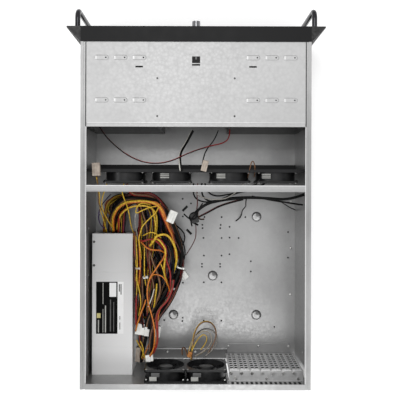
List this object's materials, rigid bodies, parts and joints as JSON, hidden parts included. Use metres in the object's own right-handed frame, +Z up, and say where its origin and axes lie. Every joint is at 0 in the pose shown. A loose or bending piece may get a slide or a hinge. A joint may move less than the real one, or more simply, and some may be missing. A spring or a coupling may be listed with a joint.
{
  "type": "empty rackmount server case",
  "caption": "Rackmount server case without its top cover or board, with drop-down front door, handles, fan wall, power supply and loose harness.",
  "frame": {"origin": "middle of the whole part's plan, handles included, at the underside of the floor", "axes": "+Y to the rear panel, -Y to the front door, +Z up, +X towards the power supply"},
  "size_m": [0.4826, 0.7186, 0.176],
  "materials": {
    "galvanised_steel": "bright zinc coated sheet",
    "bare_steel": "plain sheet, satin",
    "black_paint": "satin black",
    "ear_metal": "grey, finely mottled",
    "handle_metal": "polished, dark reflections",
    "chrome": "polished",
    "screw_metal": "zinc plated",
    "black_plastic": "moulded, matt",
    "grey_plastic": "moulded, matt",
    "white_plastic": "natural white plug body",
    "beige_plastic": "natural beige plug body",
    "black_lead": "black insulated wire",
    "mixed_leads": "bundle of yellow, orange, red and black wires",
    "red_black_lead": "red and black pair",
    "yellow_lead": "yellow and orange wires"
  },
  "bodies": {
    "case": {"chassis_shell": "galvanised_steel", "rear_panel": "galvanised_steel", "bay_cover": "galvanised_steel", "cross_brace": "galvanised_steel", "psu_case": "galvanised_steel", "psu_cover": "galvanised_steel", "slot_frame": "galvanised_steel", "psu_exit_plate": "galvanised_steel", "slot_cover_1": "galvanised_steel", "slot_cover_2": "galvanised_steel", "slot_cover_3": "galvanised_steel", "slot_cover_4": "galvanised_steel", "slot_cover_5": "galvanised_steel", "slot_cover_6": "galvanised_steel", "slot_cover_7": "galvanised_steel", "drive_cage_left": "bare_steel", "drive_cage_right": "bare_steel", "slot_screws": "screw_metal", "door_hinge_pins": "screw_metal", "front_frame": "black_paint", "fan_wall": "black_paint", "ear_left": "ear_metal", "ear_right": "ear_metal", "handle_left": "handle_metal", "handle_right": "handle_metal", "fan_frame_1": "black_plastic", "fan_frame_2": "black_plastic", "fan_frame_3": "black_plastic", "fan_frame_4": "black_plastic", "rear_fan_frame_1": "black_plastic", "rear_fan_frame_2": "black_plastic", "psu_fan_frame": "black_plastic", "psu_inlet": "black_plastic", "board_plug": "white_plastic", "lead_plugs": "beige_plastic", "main_harness": "mixed_leads", "side_harness": "mixed_leads", "board_harness": "mixed_leads", "drive_lead": "black_lead", "fan_lead_front": "black_lead", "fan_lead_middle": "black_lead", "panel_lead": "black_lead", "panel_branch": "black_lead", "rear_fan_lead": "black_lead", "bay_leads": "red_black_lead", "sensor_lead": "red_black_lead", "fan_lead_left": "yellow_lead"},
    "front_door": {"front_door": "black_paint", "lock_housing": "chrome"},
    "lock_barrel": {"lock_barrel": "chrome"},
    "power_button": {"power_button": "grey_plastic"},
    "reset_button": {"reset_button": "grey_plastic"},
    "psu_rocker": {"psu_rocker": "black_plastic"},
    "fan_rotor_1": {"fan_rotor_1": "black_plastic"},
    "fan_rotor_2": {"fan_rotor_2": "black_plastic"},
    "fan_rotor_3": {"fan_rotor_3": "black_plastic"},
    "fan_rotor_4": {"fan_rotor_4": "black_plastic"},
    "rear_fan_rotor_1": {"rear_fan_rotor_1": "black_plastic"},
    "rear_fan_rotor_2": {"rear_fan_rotor_2": "black_plastic"},
    "psu_fan_rotor": {"psu_fan_rotor": "black_plastic"}
  },
  "joints": [
    {"name": "door_hinge", "type": "hinge", "parent": "case", "child": "front_door", "pos_m": [0, -0.3176, 0.006], "axis": [1, 0, 0], "range_deg": [0, 90]},
    {"name": "lock_turn", "type": "hinge", "parent": "front_door", "child": "lock_barrel", "pos_m": [0, -0.3235, 0.156], "axis": [0, -1, 0], "range_deg": [0, 90]},
    {"name": "power_press", "type": "slide", "parent": "case", "child": "power_button", "axis": [0, 1, 0], "range_m": [0, 0.0015], "stiffness_N_per_m": 400},
    {"name": "reset_press", "type": "slide", "parent": "case", "child": "reset_button", "axis": [0, 1, 0], "range_m": [0, 0.0015], "stiffness_N_per_m": 400},
    {"name": "mains_rocker", "type": "hinge", "parent": "case", "child": "psu_rocker", "pos_m": [0.141, 0.3553, 0.015], "axis": [1, 0, 0], "range_deg": [0, 16]},
    {"name": "fan_spin_1", "type": "hinge", "parent": "case", "child": "fan_rotor_1", "pos_m": [0.139, -0.0395, 0.096], "axis": [0, 1, 0], "continuous": true},
    {"name": "fan_spin_2", "type": "hinge", "parent": "case", "child": "fan_rotor_2", "pos_m": [0.0475, -0.0395, 0.096], "axis": [0, 1, 0], "continuous": true},
    {"name": "fan_spin_3", "type": "hinge", "parent": "case", "child": "fan_rotor_3", "pos_m": [-0.066, -0.0395, 0.096], "axis": [0, 1, 0], "continuous": true},
    {"name": "fan_spin_4", "type": "hinge", "parent": "case", "child": "fan_rotor_4", "pos_m": [-0.158, -0.0395, 0.096], "axis": [0, 1, 0], "continuous": true},
    {"name": "rear_fan_spin_1", "type": "hinge", "parent": "case", "child": "rear_fan_rotor_1", "pos_m": [0.0586, 0.3445, 0.101], "axis": [0, 1, 0], "continuous": true},
    {"name": "rear_fan_spin_2", "type": "hinge", "parent": "case", "child": "rear_fan_rotor_2", "pos_m": [-0.0214, 0.3445, 0.101], "axis": [0, 1, 0], "continuous": true},
    {"name": "psu_fan_spin", "type": "hinge", "parent": "case", "child": "psu_fan_rotor", "pos_m": [0.158, 0.3445, 0.056], "axis": [0, 1, 0], "continuous": true}
  ]
}
